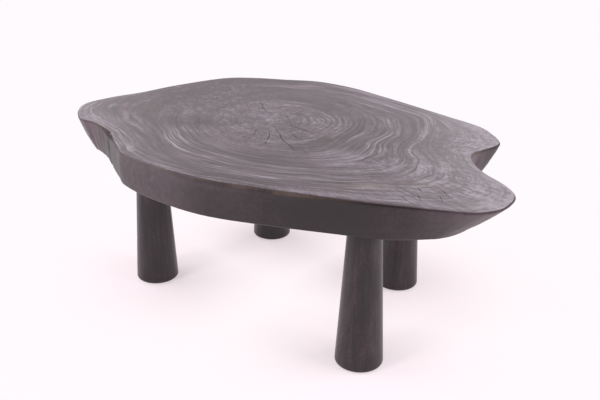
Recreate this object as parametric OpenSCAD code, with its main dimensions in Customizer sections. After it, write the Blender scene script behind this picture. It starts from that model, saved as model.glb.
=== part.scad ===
// Live edge coffee table: one thick slice across a tree, stained black, on four turned legs.
// Lengths are millimetres and Z is up. The origin is on the floor under the middle of the slab.
// +X runs along the slab's length, and the front is towards -Y.

/* [Slab] */
// Length of the slab's top, over its live edge
slab_length = 1195; // [1120:5:1280]
// Width of the slab's top, over its live edge
slab_width = 825; // [780:5:880]
// Thickness of the slab
slab_thickness = 80; // [60:1:110]
// How far the most undercut wall of the live edge draws in at its foot
wall_lean = 85; // [40:1:95]
// How far the wall swells out at half its height
wall_swell = 3; // [1:0.5:6]
// Radius of the rounded arris round the top
top_arris = 4; // [2:0.5:8]
// Radius of the rounded arris round the underside
under_arris = 6; // [2:0.5:12]

/* [Legs] */
// Length of a leg, from its foot to the slab
leg_length = 331; // [260:1:420]
// Diameter of a leg at its foot
leg_foot_d = 110; // [95:1:125]
// Diameter of a leg where it meets the slab
leg_head_d = 73; // [60:1:90]
// Radius of the rounded arris round a leg's foot
leg_foot_arris = 7; // [3:0.5:12]
// Radius of the rounded arris round a leg's head
leg_head_arris = 1.5; // [0.5:0.5:4]

/* [Leg places] */
// Front left leg, in from the slab's left end
front_left_from_end = 298; // [278:1:328]
// Front left leg, in from the slab's front
front_left_from_front = 176; // [164:1:212]
// Front right leg, in from the slab's right end
front_right_from_end = 258; // [240:1:300]
// Front right leg, in from the slab's front
front_right_from_front = 201; // [188:1:235]
// Rear left leg, in from the slab's left end
rear_left_from_end = 355; // [300:1:400]
// Rear left leg, in from the slab's back
rear_left_from_back = 252; // [215:1:285]
// Rear right leg, in from the slab's right end
rear_right_from_end = 391; // [340:1:430]
// Rear right leg, in from the slab's back
rear_right_from_back = 265; // [225:1:295]

/* [Hanger bolts] */
// Diameter of a hanger bolt
bolt_d = 12; // [10:1:14]
// Length of its machine thread, up into the slab
bolt_in_slab = 28; // [20:1:30]
// Length of its wood thread, down into the leg
bolt_in_leg = 60; // [40:1:80]
// Length of the wood thread's point
bolt_point = 9; // [6:1:14]
// Chamfer on the machine end
bolt_chamfer = 1.5; // [0.5:0.5:2.5]

/* [Threaded inserts] */
// Diameter of an insert's body
insert_d = 20; // [18:1:24]
// Length of an insert with its flange
insert_length = 32; // [30:1:40]
// Diameter of the flange
insert_flange_d = 28; // [26:1:34]
// Thickness of the flange
insert_flange = 2.5; // [1.5:0.5:4]
// Width across the flats of the hexagon socket that drives it
insert_hex = 14; // [12.5:0.5:15]
// Depth of the hexagon socket
insert_hex_depth = 6; // [3:0.5:9]
// Chamfer on the end that leads into the wood
insert_chamfer = 1.5; // [0.5:0.5:3]

/* [Foot glides] */
// Diameter of a glide
glide_d = 50; // [40:1:60]
// Thickness of a glide
glide_thickness = 6; // [5:0.5:9]
// How far a glide stands out of the leg
glide_proud = 2; // [1:0.5:3]
// Radius round the glide's floor face
glide_arris = 1.5; // [0.5:0.5:2]

/* [Glide screws] */
// Diameter of a glide's wood screw
screw_d = 4; // [3.5:0.5:5]
// Length of the screw
screw_length = 25; // [18:1:40]
// Diameter of its countersunk head
screw_head_d = 8; // [7:0.5:10]
// Length of the screw's point
screw_point = 5; // [3:0.5:7]
// How far the head lies inside the glide's floor face
screw_sink = 1; // [0.5:0.5:1.5]

/* [Fits] */
// Gap all round a piece that sits in a bore
fit = 0.1; // [0.05:0.05:0.3]
// Spare depth past the end of a piece in a blind bore
spare_depth = 3; // [1:0.5:6]

/* [Hidden] */

// Smoothness of everything turned
$fn = 96;
// Overlap that lets a cut run clear of a face
past = 1;

// Heights
foot_z = glide_proud;
head_z = foot_z + leg_length;
slab_top_z = head_z + slab_thickness;

// Leg places
slab_end = slab_length / 2;
slab_side = slab_width / 2;
front_left = [front_left_from_end - slab_end, front_left_from_front - slab_side];
front_right = [slab_end - front_right_from_end, front_right_from_front - slab_side];
rear_left = [rear_left_from_end - slab_end, slab_side - rear_left_from_back];
rear_right = [slab_end - rear_right_from_end, slab_side - rear_right_from_back];
leg_places = [front_left, front_right, rear_left, rear_right];

// The live edge
// Stations round the slab's top, anticlockwise from the front of the left lobe. Each holds a place on
// a slice drawn at its full size, then how far the wall's foot draws in there, as a share of wall_lean.
stations = [
    // Left lobe, the valley beside it and the shoulder where the front begins
    [-490, -302, 0.4],
    [-440, -300, 0.15],
    [-380, -314, 0.05],
    [-310, -346, 0],
    [-245, -380, 0],
    [-195, -403, 0],
    // Long front, almost upright
    [-90, -411, -0.05],
    [50, -396, -0.1],
    [185, -352, -0.05],
    [330, -296, 0.05],
    [425, -252, 0.1],
    // Right lobe, the most undercut
    [515, -207, 0.45],
    [565, -177, 0.75],
    [595, -132, 0.95],
    [597, -82, 1],
    [583, -40, 1],
    [542, -3, 0.85],
    // Notch between the two right lobes
    [478, 32, 0.6],
    [430, 75, 0.4],
    [405, 122, 0.3],
    [410, 165, 0.3],
    // Rear right lobe
    [418, 212, 0.4],
    [410, 243, 0.5],
    [375, 281, 0.5],
    [315, 322, 0.35],
    // Back
    [215, 345, 0.2],
    [100, 370, 0.15],
    [-30, 395, 0.15],
    [-150, 413, 0.15],
    [-265, 402, 0.2],
    [-350, 356, 0.25],
    [-440, 305, 0.3],
    // Left end
    [-508, 236, 0.3],
    [-553, 80, 0.25],
    [-567, -30, 0.3],
    [-591, -125, 0.4],
    [-593, -204, 0.5],
    [-556, -258, 0.5]
];
// Points on the curve from one station to the next
curve_steps = 5;
// Steps of an arris through its quarter turn
arris_steps = 3;
// Steps of the wall between its two arrises
wall_steps = 4;

// The smooth closed curve through a list of stations, a part t of the way from station i to the next
function on_curve(list, i, t) =
    let (count = len(list))
    let (before = list[(i + count - 1) % count])
    let (here = list[i])
    let (next = list[(i + 1) % count])
    let (after = list[(i + 2) % count])
    here
        + (next - before) * t / 2
        + (2 * before - 5 * here + 4 * next - after) * t * t / 2
        + (3 * here - before - 3 * next + after) * t * t * t / 2;

// One column of a table
function column(table, k) = [for (row = table) row[k]];
function span_of(list) = max(list) - min(list);
function middle_of(list) = (max(list) + min(list)) / 2;
function unit(v) = v / norm(v);

drawn_edge = [
    for (i = [0 : len(stations) - 1], step = [0 : curve_steps - 1])
        on_curve(stations, i, step / curve_steps)
];
stretch = [
    slab_length / span_of(column(drawn_edge, 0)),
    slab_width / span_of(column(drawn_edge, 1))
];
edge = [for (p = drawn_edge) [p[0] * stretch[0], p[1] * stretch[1]]];
edge_lean = [for (p = drawn_edge) p[2] * wall_lean];
edge_count = len(edge);

// Unit vector that points out of the slab, square to its edge
function outward(i) =
    let (along = unit(edge[(i + 1) % edge_count] - edge[(i + edge_count - 1) % edge_count]))
    [along[1], -along[0]];

// Rows round the wall from the top down: height, step out of the edge, share of the lean
wall_top_z = slab_top_z - top_arris;
wall_foot_z = head_z + under_arris;
rows = concat(
    [
        for (k = [0 : arris_steps - 1])
            let (turn = 90 - 90 * k / arris_steps)
            [wall_top_z + top_arris * sin(turn), top_arris * (cos(turn) - 1), 0]
    ],
    [
        for (k = [0 : wall_steps])
            let (down = k / wall_steps)
            [wall_top_z + (wall_foot_z - wall_top_z) * down, wall_swell * sin(180 * down), down]
    ],
    [
        for (k = [1 : arris_steps])
            let (turn = 90 * k / arris_steps)
            [wall_foot_z - under_arris * sin(turn), under_arris * (cos(turn) - 1), 1]
    ]
);
row_count = len(rows);

// The wall leans towards the heart of the tree, so its foot never crosses itself
function wall_point(i, row) =
    edge[i] + outward(i) * row[1] - unit(edge[i]) * edge_lean[i] * row[2];

wall_grid = [for (row = rows, i = [0 : edge_count - 1]) wall_point(i, row)];
slab_middle = [middle_of(column(wall_grid, 0)), middle_of(column(wall_grid, 1))];
slab_points = [
    for (r = [0 : row_count - 1], i = [0 : edge_count - 1])
        let (p = wall_grid[r * edge_count + i] - slab_middle)
        [p[0], p[1], rows[r][0]]
];
slab_faces = concat(
    [[for (i = [edge_count - 1 : -1 : 0]) i]],
    [
        for (r = [0 : row_count - 2], i = [0 : edge_count - 1], half = [0, 1])
            let (next = (i + 1) % edge_count)
            let (a = r * edge_count + i)
            let (b = r * edge_count + next)
            half == 0
                ? [a, b, b + edge_count]
                : [a, b + edge_count, a + edge_count]
    ],
    [[for (i = [0 : edge_count - 1]) (row_count - 1) * edge_count + i]]
);

// Slab

module live_edge_slab() {
    color("#6b6467")
        difference() {
            polyhedron(points = slab_points, faces = slab_faces);
            for (place = leg_places)
                translate([place[0], place[1], head_z])
                    insert_bore();
        }
}

// Counterbored blind bore for a threaded insert, up from the slab's underside
module insert_bore() {
    translate([0, 0, -past])
        cylinder(d = insert_d + 2 * fit, h = insert_length + spare_depth + past);
    translate([0, 0, -past])
        cylinder(d = insert_flange_d + 2 * fit, h = insert_flange + past);
}

// Legs

leg_taper = atan((leg_foot_d - leg_head_d) / 2 / leg_length);

// Half the diameter of a leg at a height above its foot
function leg_radius(z) = leg_foot_d / 2 - z * tan(leg_taper);

foot_arris_r = leg_radius(leg_foot_arris) - leg_foot_arris / cos(leg_taper);
head_arris_r = leg_radius(leg_length - leg_head_arris) - leg_head_arris / cos(leg_taper);
leg_profile = concat(
    [[0, 0]],
    [
        for (turn = [-90 : 15 : 0])
            [foot_arris_r + leg_foot_arris * cos(turn), leg_foot_arris * (1 + sin(turn))]
    ],
    [
        for (turn = [0 : 30 : 90])
            [head_arris_r + leg_head_arris * cos(turn), leg_length - leg_head_arris * (1 - sin(turn))]
    ],
    [[0, leg_length]]
);
glide_depth = glide_thickness - glide_proud;
screw_reach = screw_sink + screw_length - glide_proud;

// A cone leg turned about its own axis, with its foot at the origin
module turned_leg() {
    color("#3b3538")
        difference() {
            rotate_extrude()
                polygon(leg_profile);
            translate([0, 0, leg_length - bolt_in_leg - spare_depth])
                cylinder(d = bolt_d + 2 * fit, h = bolt_in_leg + spare_depth + past);
            translate([0, 0, -past])
                cylinder(d = glide_d + 2 * fit, h = glide_depth + past);
            translate([0, 0, -past])
                cylinder(d = screw_d + 2 * fit, h = screw_reach + spare_depth + past);
        }
}

module place_leg(place) {
    translate([place[0], place[1], foot_z])
        turned_leg();
}

module leg_front_left() {
    place_leg(front_left);
}

module leg_front_right() {
    place_leg(front_right);
}

module leg_rear_left() {
    place_leg(rear_left);
}

module leg_rear_right() {
    place_leg(rear_right);
}

// Threaded inserts

// Half section of an insert, without its socket
insert_profile = [
    [bolt_d / 2 + fit, 0],
    [insert_flange_d / 2, 0],
    [insert_flange_d / 2, insert_flange],
    [insert_d / 2, insert_flange],
    [insert_d / 2, insert_length - insert_chamfer],
    [insert_d / 2 - insert_chamfer, insert_length],
    [bolt_d / 2 + fit, insert_length]
];

// A steel insert, flush in the slab's underside, with a hexagon socket in its flange
module threaded_insert() {
    color("#b9a86a")
        difference() {
            rotate_extrude()
                polygon(insert_profile);
            translate([0, 0, -past])
                cylinder(d = insert_hex / cos(30), h = insert_hex_depth + past, $fn = 6);
        }
}

module place_insert(place) {
    translate([place[0], place[1], head_z])
        threaded_insert();
}

module threaded_insert_front_left() {
    place_insert(front_left);
}

module threaded_insert_front_right() {
    place_insert(front_right);
}

module threaded_insert_rear_left() {
    place_insert(rear_left);
}

module threaded_insert_rear_right() {
    place_insert(rear_right);
}

// Hanger bolts

bolt_profile = [
    [0, -bolt_in_leg],
    [bolt_d / 2, -bolt_in_leg + bolt_point],
    [bolt_d / 2, bolt_in_slab - bolt_chamfer],
    [bolt_d / 2 - bolt_chamfer, bolt_in_slab],
    [0, bolt_in_slab]
];

// Wood thread down into the leg, machine thread up into the insert
module hanger_bolt() {
    color("#a9abad")
        rotate_extrude()
            polygon(bolt_profile);
}

module place_bolt(place) {
    translate([place[0], place[1], head_z])
        hanger_bolt();
}

module hanger_bolt_front_left() {
    place_bolt(front_left);
}

module hanger_bolt_front_right() {
    place_bolt(front_right);
}

module hanger_bolt_rear_left() {
    place_bolt(rear_left);
}

module hanger_bolt_rear_right() {
    place_bolt(rear_right);
}

// Foot glides

screw_head_height = (screw_head_d - screw_d) / 2;
glide_profile = concat(
    [[screw_d / 2 + fit, 0]],
    [
        for (turn = [-90 : 15 : 0])
            [glide_d / 2 - glide_arris * (1 - cos(turn)), glide_arris * (1 + sin(turn))]
    ],
    [
        [glide_d / 2, glide_thickness],
        [screw_d / 2 + fit, glide_thickness]
    ]
);

// A nylon disc let into the leg's foot, countersunk for its screw
module foot_glide() {
    color("#2b2b2d")
        difference() {
            rotate_extrude()
                polygon(glide_profile);
            translate([0, 0, -past])
                cylinder(d = screw_head_d + 2 * fit, h = screw_sink + past);
            translate([0, 0, screw_sink])
                cylinder(d1 = screw_head_d + 2 * fit, d2 = screw_d + 2 * fit, h = screw_head_height);
        }
}

module place_glide(place) {
    translate([place[0], place[1], 0])
        foot_glide();
}

module foot_glide_front_left() {
    place_glide(front_left);
}

module foot_glide_front_right() {
    place_glide(front_right);
}

module foot_glide_rear_left() {
    place_glide(rear_left);
}

module foot_glide_rear_right() {
    place_glide(rear_right);
}

// Glide screws

screw_profile = [
    [0, 0],
    [screw_head_d / 2, 0],
    [screw_d / 2, screw_head_height],
    [screw_d / 2, screw_length - screw_point],
    [0, screw_length]
];

// A countersunk wood screw, up through the glide into the leg
module glide_screw() {
    color("#a9abad")
        rotate_extrude()
            polygon(screw_profile);
}

module place_screw(place) {
    translate([place[0], place[1], screw_sink])
        glide_screw();
}

module glide_screw_front_left() {
    place_screw(front_left);
}

module glide_screw_front_right() {
    place_screw(front_right);
}

module glide_screw_rear_left() {
    place_screw(rear_left);
}

module glide_screw_rear_right() {
    place_screw(rear_right);
}

live_edge_slab();
leg_front_left();
leg_front_right();
leg_rear_left();
leg_rear_right();
threaded_insert_front_left();
threaded_insert_front_right();
threaded_insert_rear_left();
threaded_insert_rear_right();
hanger_bolt_front_left();
hanger_bolt_front_right();
hanger_bolt_rear_left();
hanger_bolt_rear_right();
foot_glide_front_left();
foot_glide_front_right();
foot_glide_rear_left();
foot_glide_rear_right();
glide_screw_front_left();
glide_screw_front_right();
glide_screw_rear_left();
glide_screw_rear_right();
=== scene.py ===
import math
from functools import partial

import bmesh
import bpy
import numpy as np
from mathutils import Matrix, Vector


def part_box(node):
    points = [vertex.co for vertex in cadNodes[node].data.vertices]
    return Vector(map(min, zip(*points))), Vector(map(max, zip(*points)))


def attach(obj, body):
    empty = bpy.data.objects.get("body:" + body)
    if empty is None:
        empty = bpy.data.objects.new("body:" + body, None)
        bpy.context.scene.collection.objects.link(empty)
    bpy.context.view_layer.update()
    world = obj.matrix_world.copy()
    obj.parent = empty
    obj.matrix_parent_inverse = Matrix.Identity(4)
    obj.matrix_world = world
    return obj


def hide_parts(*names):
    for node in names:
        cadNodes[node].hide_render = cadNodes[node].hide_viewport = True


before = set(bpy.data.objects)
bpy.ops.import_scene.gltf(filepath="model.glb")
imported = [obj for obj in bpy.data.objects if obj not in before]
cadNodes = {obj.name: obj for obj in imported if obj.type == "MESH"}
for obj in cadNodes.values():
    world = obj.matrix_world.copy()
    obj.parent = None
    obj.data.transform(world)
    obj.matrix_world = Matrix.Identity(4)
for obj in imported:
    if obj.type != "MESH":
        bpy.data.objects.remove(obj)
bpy.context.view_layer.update()  # the imported solids, each moved into its own mesh in place
mm = 0.001
corners = ("front_left", "front_right", "rear_left", "rear_right")
print("table loaded,", len(cadNodes), "solids")


def hexColour(code):  # an sRGB hex code as the linear colour that a socket takes
    parts = [int(code[i:i + 2], 16) / 255 for i in (1, 3, 5)]
    return [c / 12.92 if c <= 0.04045 else ((c + 0.055) / 1.055) ** 2.4 for c in parts] + [1.0]


def addNode(tree, kind, feeds=(), output=None, **settings):  # a node, its settings and its links
    kind, _, operation = kind.partition(".")
    node = tree.nodes.new(kind if "Node" in kind else "ShaderNode" + kind)
    if operation:
        node.operation = operation
    for name, value in settings.items():
        setattr(node, name, value)
    sockets = [s for s in node.inputs if s.enabled]
    if isinstance(feeds, dict):  # fed by name, or else in the order of its sockets
        sockets, feeds = [next(s for s in sockets if s.name == name) for name in feeds], feeds.values()
    for socket, value in zip(sockets, feeds):
        if isinstance(value, bpy.types.NodeSocket):
            tree.links.new(value, socket)
        else:
            socket.default_value = value
    if output:
        return node.outputs[output]
    return next((s for s in node.outputs if s.enabled), None)


def fillRamp(ramp, stops):  # stops are (place, hex colour or grey value)
    elements = ramp.node.color_ramp.elements
    while len(elements) < len(stops):
        elements.new(0.5)
    for element, (place, colour) in zip(elements, stops):
        element.position = place
        element.color = hexColour(colour) if isinstance(colour, str) else (colour, colour, colour, 1)
    return ramp


def blankNodes(owner):  # clears the nodes of a material or a world, and hands back what adds new ones
    owner.use_nodes = True
    owner.node_tree.nodes.clear()
    return partial(addNode, owner.node_tree)


def newMaterial(name):
    material = bpy.data.materials.new(name)
    return material, blankNodes(material)


def newPiece(name, data):
    piece = bpy.data.objects.new(name, data)
    bpy.context.scene.collection.objects.link(piece)
    return piece


def newTree(name, inputs):  # a Geometry Nodes tree, what adds its nodes, and its named inputs as sockets
    tree = bpy.data.node_groups.new(name, "GeometryNodeTree")
    for label, kind in {"Geometry": "Geometry", **inputs, "Material": "Material"}.items():
        tree.interface.new_socket(label, in_out="INPUT", socket_type="NodeSocket" + kind)
    tree.interface.new_socket("Geometry", in_out="OUTPUT", socket_type="NodeSocketGeometry")
    entry = tree.nodes.new("NodeGroupInput")
    return tree, partial(addNode, tree), {s.name: s for s in entry.outputs if s.name}


def endTree(add, geometry, material):
    real = add("GeometryNodeRealizeInstances", (geometry,))
    painted = add("GeometryNodeSetMaterial", {"Geometry": real, "Material": material})
    add("NodeGroupOutput", (painted,))


def runTree(piece, tree, values):  # runs a tree on a piece and keeps the result as a plain mesh
    modifier = piece.modifiers.new(tree.name, "NODES")
    modifier.node_group = tree
    for item in tree.interface.items_tree:
        if item.in_out == "INPUT" and item.name in values:
            modifier[item.identifier] = values[item.name]
    keepShape(piece)


def keepShape(piece):  # what the modifiers make becomes the piece's own mesh
    evaluated = piece.evaluated_get(bpy.context.evaluated_depsgraph_get())
    mesh = bpy.data.meshes.new_from_object(evaluated)
    piece.modifiers.clear()
    piece.data = mesh


def storeValues(mesh, label, values):  # one number for each point
    mesh.attributes.new(label, "FLOAT", "POINT").data.foreach_set("value", values)


def closeMesh(mesh):  # joins doubles and turns every face outwards
    work = bmesh.new()
    work.from_mesh(mesh)
    bmesh.ops.remove_doubles(work, verts=work.verts, dist=0.001 * mm)
    bmesh.ops.recalc_face_normals(work, faces=work.faces)
    work.to_mesh(mesh)
    work.free()


def closedPiece(name, points, faces):
    mesh = bpy.data.meshes.new(name)
    mesh.from_pydata(points, [], faces)
    closeMesh(mesh)
    return newPiece(name, mesh)


def softenMesh(mesh, angle=35):  # smooth shading with a crisp line at every edge sharper than angle
    mesh.shade_smooth()
    mesh.set_sharp_from_angle(angle=math.radians(angle))


def cutAway(piece, cutters):  # takes each cutter's solid out of the piece
    for cutter in cutters:
        modifier = piece.modifiers.new(cutter.name, "BOOLEAN")
        modifier.operation = "DIFFERENCE"
        modifier.solver = "MANIFOLD"
        modifier.object = cutter
    keepShape(piece)
    for cutter in cutters:
        bpy.data.objects.remove(cutter)


def standIn(piece, node):  # the piece joins the root body and stands in for a CAD node, which is hidden
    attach(piece, "root")
    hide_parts(node)


def legAxis(corner):  # the middle of a leg's box
    low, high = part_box("leg_" + corner)
    return (low + high) / 2


# Camera and studio

cameraPlace = {
    "position": (1171.4, -1454.3, 1019.7),  # mm from the middle of the floor under the slab
    "heading": (-0.6293, 0.7771),
    "pitch": 23.02,
    "roll": 0.80,
    "focalPixels": 792.7,  # for a picture 600 pixels wide
    "pictureWidth": 600,
    "sensor": 36.0,
}


def makeCamera(place):
    data = bpy.data.cameras.new("studioCamera")
    data.sensor_width = place["sensor"]
    data.lens = place["sensor"] * place["focalPixels"] / place["pictureWidth"]
    data.clip_end = 60
    camera = newPiece("studioCamera", data)
    pitch, roll = math.radians(place["pitch"]), math.radians(place["roll"])
    heading = Vector((*place["heading"], 0)).normalized()
    forward = heading * math.cos(pitch) - Vector((0, 0, math.sin(pitch)))
    level = forward.cross(Vector((0, 0, 1))).normalized()
    upright = level.cross(forward)
    right = math.cos(roll) * level + math.sin(roll) * upright
    up = math.cos(roll) * upright - math.sin(roll) * level
    camera.matrix_world = Matrix((right, up, -forward)).transposed().to_4x4()
    camera.location = [v * mm for v in place["position"]]
    bpy.context.scene.camera = camera


studio = {
    "paper": "#fffafe",  # what the camera sees where no shadow falls
    "floorPaint": "#fdf4f8",
    "floorRadius": 9.0,
    "nearPaper": "#fff5f8",  # the same under the table, where the exposure is higher
    "overExposure": 1.05,
    "shadowShare": (0.54, 0.04),  # how much of the true shadow shows by a leg, and away from the legs
    "shadowReach": (0.05, 0.35),  # m from a leg's axis
    "plainReach": (0.5, 1.05),  # m from the middle, between which the floor turns to plain white
    "worldLight": 0.55,
    "skyTint": "#fffafe",
}
softBoxes = [
    {"name": "leftSoftBox", "size": (4.6, 3.0), "place": (-2.9, -0.7, 1.6), "aim": (0, 0, 0.2), "watts": 124},
    {"name": "frontSoftBox", "size": (0.9, 0.7), "place": (-0.6, -2.8, 1.9), "aim": (0, 0, 0.1), "watts": 29},
    {"name": "rearSoftBox", "size": (1.6, 1.2), "place": (2.4, 1.9, 2.2), "aim": (0, 0, 0.3), "watts": 40},
    {"name": "windowSoftBox", "size": (1.4, 1.2), "place": (-0.4, 2.9, 1.7), "aim": (0.3, 0, 0.3), "watts": 14},
    {"name": "rightSoftBox", "size": (1.0, 0.8), "place": (3.0, 0.5, 0.8), "aim": (0.3, 0, 0.3), "watts": 42},
]


def makeFloor(look):
    material, add = newMaterial("paintedStudioFloor")  # matt white paint, soft faint shadows
    paint = add("BsdfDiffuse", (hexColour(look["floorPaint"]), 0.6))
    rays = add("LightPath").node
    seen = add("Math.MAXIMUM", (rays.outputs["Is Camera Ray"], rays.outputs["Is Glossy Ray"]))
    place = add("TexCoord", output="Object")
    reach = add("VectorMath.LENGTH", (place,), output="Value")
    away = add("MapRange", (reach, *look["plainReach"]), interpolation_type="SMOOTHSTEP")
    glow = add("MapRange", (away, 0, 1, look["overExposure"], 1.0))
    tint = add("Mix", (away, hexColour(look["nearPaper"]), hexColour(look["paper"])), data_type="RGBA")
    paper = add("Emission", (tint, glow))
    gap = 10.0
    for corner in corners:
        foot = (*legAxis(corner)[:2], 0)
        leg = add("VectorMath.DISTANCE", (place, foot), output="Value")
        gap = add("Math.MINIMUM", (leg, gap))
    (most, least), (first, last) = look["shadowShare"], look["shadowReach"]
    burnt = add("MapRange", (gap, first, last, 1 - most, 1 - least), interpolation_type="SMOOTHSTEP")
    far = add("Math.MAXIMUM", (burnt, away))
    share = add("Math.MULTIPLY", (seen, far))
    mixed = add("MixShader", (share, paint, paper))
    add("OutputMaterial", (mixed,))
    work = bmesh.new()
    bmesh.ops.create_circle(work, cap_ends=True, segments=96, radius=look["floorRadius"])
    mesh = bpy.data.meshes.new("studioFloor")
    work.to_mesh(mesh)
    work.free()
    floor = newPiece("studioFloor", mesh)
    floor.data.materials.append(material)


def makeLight(look):
    world = bpy.data.worlds.new("studioLight")
    bpy.context.scene.world = world
    add = blankNodes(world)
    rays = add("LightPath").node
    seen = add("Math.MAXIMUM", (rays.outputs["Is Camera Ray"], rays.outputs["Is Glossy Ray"]))
    seen = add("Math.MAXIMUM", (seen, rays.outputs["Is Transmission Ray"]))
    sky = add("Background", (hexColour(look["skyTint"]), look["worldLight"]))
    paper = add("Background", (hexColour(look["paper"]), 1.0))
    mixed = add("MixShader", (seen, sky, paper))
    add("OutputWorld", (mixed,))
    for lamp in softBoxes:
        data = bpy.data.lights.new(lamp["name"], "AREA")
        data.shape = "RECTANGLE"
        data.size, data.size_y = lamp["size"]
        data.energy = lamp["watts"]
        data.color = hexColour(look["skyTint"])[:3]
        box = newPiece(lamp["name"], data)
        box.location = lamp["place"]
        aim = Vector(lamp["aim"]) - box.location
        box.rotation_mode = "QUATERNION"
        box.rotation_quaternion = aim.to_track_quat("-Z", "Y")


bpy.context.scene.view_settings.view_transform = "Standard"
makeCamera(cameraPlace)
makeFloor(studio)
makeLight(studio)
print("camera, floor and lights set")

# Slab

slabLoft = {
    "columns": 896,  # points round the live edge, halved step by step towards the pith
    "arrisRows": 6,
    "wallRows": 20,
    "topStep": 6.5,  # mm from ring to ring on the sawn faces
    "underCoarser": 2.2,  # times as far on the underside
    "columnGap": 2.6,  # mm, the least gap between columns before every second one ends
    "pith": (-120, 7),  # mm, the heart of the tree, left of the middle
    "heartSize": 225,  # mm, the reach of the first of the rings below if it were round
    "ringGap": 0.95,  # each ring keeps within this share of the next one's reach
    "boreReach": 20,  # mm, the slab's bores lie within this of a leg's axis
}
treeRings = {  # mm, growth rings that can be followed right round, by their age as a share
    0.5: [(139, 45), (139, 80), (133, 110), (118, 145), (88, 185), (50, 215), (0, 240), (-60, 260), (-120, 268),
          (-180, 262), (-240, 238), (-285, 190), (-312, 130), (-325, 65), (-326, 5), (-318, -50), (-295, -95),
          (-240, -148), (-159, -190), (-100, -203), (-42, -203), (12, -196), (66, -175), (108, -152), (140, -115),
          (158, -70), (155, -30), (147, 5)],
    0.76: [(165, 290), (188, 271), (208, 251), (234, 205), (247, 172), (255, 143), (257, 107), (264, 76), (280, 44),
           (300, 21), (323, -2), (343, -40), (348, -78), (339, -114), (313, -140), (280, -163), (247, -186),
           (201, -213), (120, -253), (60, -274), (0, -288), (-60, -293), (-108, -292), (-150, -284), (-200, -264),
           (-246, -234), (-292, -207), (-325, -182), (-354, -157), (-385, -120), (-408, -75), (-420, -20), (-420, 50),
           (-400, 120), (-360, 200), (-300, 265), (-220, 305), (-120, 322), (-50, 322), (30, 316), (100, 306)],
    0.86: [(217, 268), (236, 238), (256, 202), (270, 160), (290, 122), (313, 93), (345, 62), (382, 28), (405, 0),
           (422, -30), (427, -60), (421, -84), (412, -107), (396, -135), (362, -163), (326, -187), (280, -220),
           (247, -240), (181, -272), (100, -300), (41, -323), (0, -337), (-46, -346), (-100, -347), (-158, -338),
           (-200, -319), (-242, -297), (-292, -277), (-342, -262), (-392, -248), (-433, -232), (-475, -215),
           (-512, -188), (-535, -150), (-540, -100), (-532, -40), (-522, 30), (-508, 110), (-470, 215), (-400, 288),
           (-300, 350), (-200, 378), (-100, 378), (0, 366), (60, 357), (110, 346), (158, 328), (190, 300)],
}
rimRow, footRow, lastRow = 3, 7, 10  # the CAD slab's rows: the arris ends, the foot's arris starts, the last one
folds = [  # creases down the wall, mm: place on the rim, how far it strays by the foot, half width, depth
    ((-341, -331), (22, -14), 8, 8.0),
    ((-378, -317), (6, -2), 7, 2.5),
    ((-405, -307), (4, 0), 6, 2.2),
    ((-430, -301), (4, 0), 6, 2.8),
    ((-458, -300), (2, 0), 6, 2.4),
    ((-484, -299), (0, 0), 7, 2.6),
    ((-520, -286), (0, 0), 9, 2.0),
    ((432, 73), (0, 0), 14, 2.0),
    ((406, 150), (0, 0), 10, 2.5),
    ((-556, 60), (0, 0), 14, 2.5),
    ((-350, 356), (0, 0), 16, 2.5),
    ((215, 345), (0, 0), 18, 2.5),
]
wornRims = [  # place on the rim and half length, mm, and how much wider its arris has worn
    ((-345, -328), 38, 1.9), ((410, 130), 30, 0.8), ((85, -372), 55, 0.8), ((205, -340), 55, 1.2),
]


def alongCurve(points, places, closed):  # the smooth curve through points, at fractional places
    count = len(points)
    step = np.floor(places).astype(int)
    t = (places - step).reshape(-1, *[1] * (points.ndim - 1))
    four = [step - 1, step, step + 1, step + 2]
    a, b, c, d = [points[i % count if closed else np.clip(i, 0, count - 1)] for i in four]
    return b + (c - a) * t / 2 + (2 * a - 5 * b + 4 * c - d) * t ** 2 / 2 + (3 * b - a - 3 * c + d) * t ** 3 / 2


def slabRows():  # the CAD slab's own rows of points round its edge, from the top face down
    points = np.array([v.co for v in cadNodes["live_edge_slab"].data.vertices]).round(6)
    for corner in corners:
        axis = legAxis(corner)
        away = np.hypot(points[:, 0] - axis.x, points[:, 1] - axis.y)
        points = points[away > slabLoft["boreReach"] * mm]
    rows = []
    for height in np.unique(points[:, 2])[::-1]:
        row = np.unique(points[points[:, 2] == height], axis=0)
        turn = np.arctan2(row[:, 1], row[:, 0])
        rows.append(row[np.argsort(turn)])
    return np.array(rows)


def wallGrid(loft):  # rows by columns of points, even round the top edge
    rows = slabRows()
    edge = rows[rimRow]
    steps = np.linalg.norm(np.roll(edge, -1, axis=0) - edge, axis=1)
    run = np.concatenate([[0], np.cumsum(steps)])
    places = np.interp(np.arange(loft["columns"]) * run[-1] / loft["columns"], run, np.arange(len(run)))
    columns = alongCurve(rows.transpose(1, 0, 2), places, True).transpose(1, 0, 2)
    grid, heights = [], []
    arrisRows, wallRows = loft["arrisRows"], loft["wallRows"]
    for first, last, count in (
            (0, rimRow, arrisRows), (rimRow, footRow, wallRows), (footRow, lastRow, arrisRows + 1)):
        steps = np.linspace(0, last - first, count, endpoint=last == lastRow)
        grid.append(alongCurve(columns[first:last + 1], steps, False))
        heights.append(first + steps)
    return np.concatenate(grid), np.concatenate(heights)


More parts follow.
